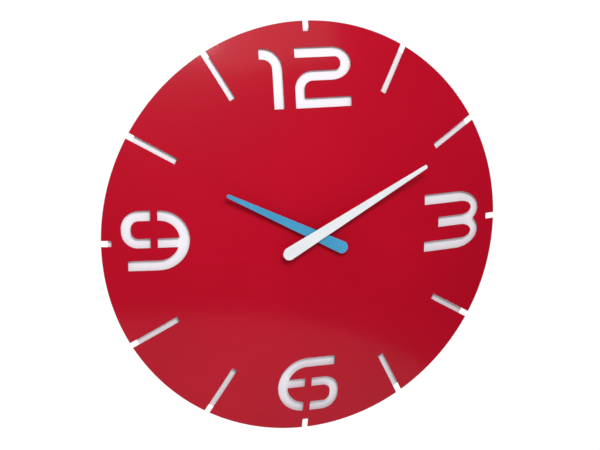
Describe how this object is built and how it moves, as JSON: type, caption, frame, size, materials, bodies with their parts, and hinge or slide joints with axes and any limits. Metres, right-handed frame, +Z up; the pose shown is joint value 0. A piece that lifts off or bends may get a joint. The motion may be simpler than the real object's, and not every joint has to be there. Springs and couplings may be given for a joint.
{
  "type": "wall_clock",
  "caption": "Round wall clock with a domed red sheet-metal dial, cut-through numerals and hour slots over a white backing disc, tapered hands and a quartz movement",
  "frame": {"origin": "middle of the round entry of the keyhole in the hanger plate, in the wall plane", "axes": "the clock faces -Y, +Z is up towards 12 o'clock, +X is towards 3 o'clock, and the wall is the plane y = 0"},
  "size_m": [0.35, 0.035, 0.35],
  "materials": {
    "red_paint": "satin",
    "zinc_steel": "zinc plated",
    "white_sheet": "smooth matt",
    "rubber": "matt",
    "brass": "turned",
    "black_plastic": "fine texture",
    "pale_plastic": "moulded",
    "soft_iron": "stamped",
    "copper_wire": "enamelled wire",
    "magnet": "nickel plated",
    "spring_metal": "plated strip",
    "board_green": "solder mask",
    "battery_sleeve": "printed sleeve, plain",
    "white_paint": "satin",
    "blue_paint": "satin"
  },
  "bodies": {
    "clock": {"dial_plate": "red_paint", "plate_studs": "zinc_steel", "stud_sleeves": "rubber", "backing_disc": "white_sheet", "stud_seats": "rubber", "stud_nuts": "zinc_steel", "hanger_plate": "zinc_steel", "hanger_legs": "zinc_steel", "wall_feet": "rubber", "bush_nut": "brass", "bush_washer": "brass", "case_gasket": "rubber", "movement_case": "black_plastic", "movement_cover": "black_plastic", "train_plate": "pale_plastic", "stator": "soft_iron", "coil_core": "soft_iron", "coil_bobbin": "pale_plastic", "coil_winding": "copper_wire", "circuit_board": "board_green", "timing_chip": "black_plastic", "quartz_crystal": "spring_metal", "contact_plus": "spring_metal", "contact_minus": "spring_metal"},
    "minute_hand_body": {"minute_arbor": "brass", "clutch_spring": "spring_metal", "minute_hand": "white_paint", "minute_hand_bush": "white_paint"},
    "hour_hand_body": {"hour_wheel": "pale_plastic", "hour_hand": "blue_paint", "hour_hand_bush": "blue_paint"},
    "motion_wheel_body": {"motion_wheel": "pale_plastic"},
    "setting_knob_body": {"setting_knob": "pale_plastic"},
    "seconds_wheel_body": {"seconds_wheel": "pale_plastic"},
    "reduction_wheel_body": {"reduction_wheel": "pale_plastic"},
    "rotor_body": {"rotor_magnet": "magnet", "rotor_pinion": "pale_plastic"},
    "third_wheel_body": {"third_wheel": "pale_plastic"},
    "centre_wheel_body": {"centre_wheel": "brass"},
    "battery_body": {"battery": "battery_sleeve"}
  },
  "joints": [
    {"name": "minute_hand_turn", "type": "hinge", "parent": "clock", "child": "minute_hand_body", "pos_m": [0, 0, -0.078], "axis": [0, 1, 0], "continuous": true},
    {"name": "hour_hand_turn", "type": "hinge", "parent": "clock", "child": "hour_hand_body", "pos_m": [0, 0, -0.078], "axis": [0, 1, 0], "continuous": true},
    {"name": "motion_wheel_turn", "type": "hinge", "parent": "clock", "child": "motion_wheel_body", "pos_m": [0, 0, -0.069], "axis": [0, 1, 0], "continuous": true},
    {"name": "setting_knob_turn", "type": "hinge", "parent": "clock", "child": "setting_knob_body", "pos_m": [0.0045, 0, -0.06121], "axis": [0, 1, 0], "continuous": true},
    {"name": "seconds_wheel_turn", "type": "hinge", "parent": "clock", "child": "seconds_wheel_body", "pos_m": [0, 0, -0.078], "axis": [0, 1, 0], "continuous": true},
    {"name": "reduction_wheel_turn", "type": "hinge", "parent": "clock", "child": "reduction_wheel_body", "pos_m": [-0.0094, 0, -0.07458], "axis": [0, 1, 0], "continuous": true},
    {"name": "rotor_turn", "type": "hinge", "parent": "clock", "child": "rotor_body", "pos_m": [-0.01484, 0, -0.06914], "axis": [0, 1, 0], "continuous": true},
    {"name": "third_wheel_turn", "type": "hinge", "parent": "clock", "child": "third_wheel_body", "pos_m": [0.0094, 0, -0.07458], "axis": [0, 1, 0], "continuous": true},
    {"name": "centre_wheel_turn", "type": "hinge", "parent": "clock", "child": "centre_wheel_body", "pos_m": [0, 0, -0.078], "axis": [0, 1, 0], "continuous": true},
    {"name": "battery_out", "type": "slide", "parent": "clock", "child": "battery_body", "axis": [0, 1, 0], "range_m": [0, 0.02]}
  ],
  "couplings": [
    {"joint": "hour_hand_turn", "follows": "minute_hand_turn", "ratio": 0.083333},
    {"joint": "motion_wheel_turn", "follows": "minute_hand_turn", "ratio": -0.33333},
    {"joint": "setting_knob_turn", "follows": "minute_hand_turn", "ratio": 1},
    {"joint": "reduction_wheel_turn", "follows": "rotor_turn", "ratio": -0.16667},
    {"joint": "seconds_wheel_turn", "follows": "rotor_turn", "ratio": 0.033333},
    {"joint": "third_wheel_turn", "follows": "rotor_turn", "ratio": -0.0044444},
    {"joint": "centre_wheel_turn", "follows": "rotor_turn", "ratio": 0.00055556}
  ]
}
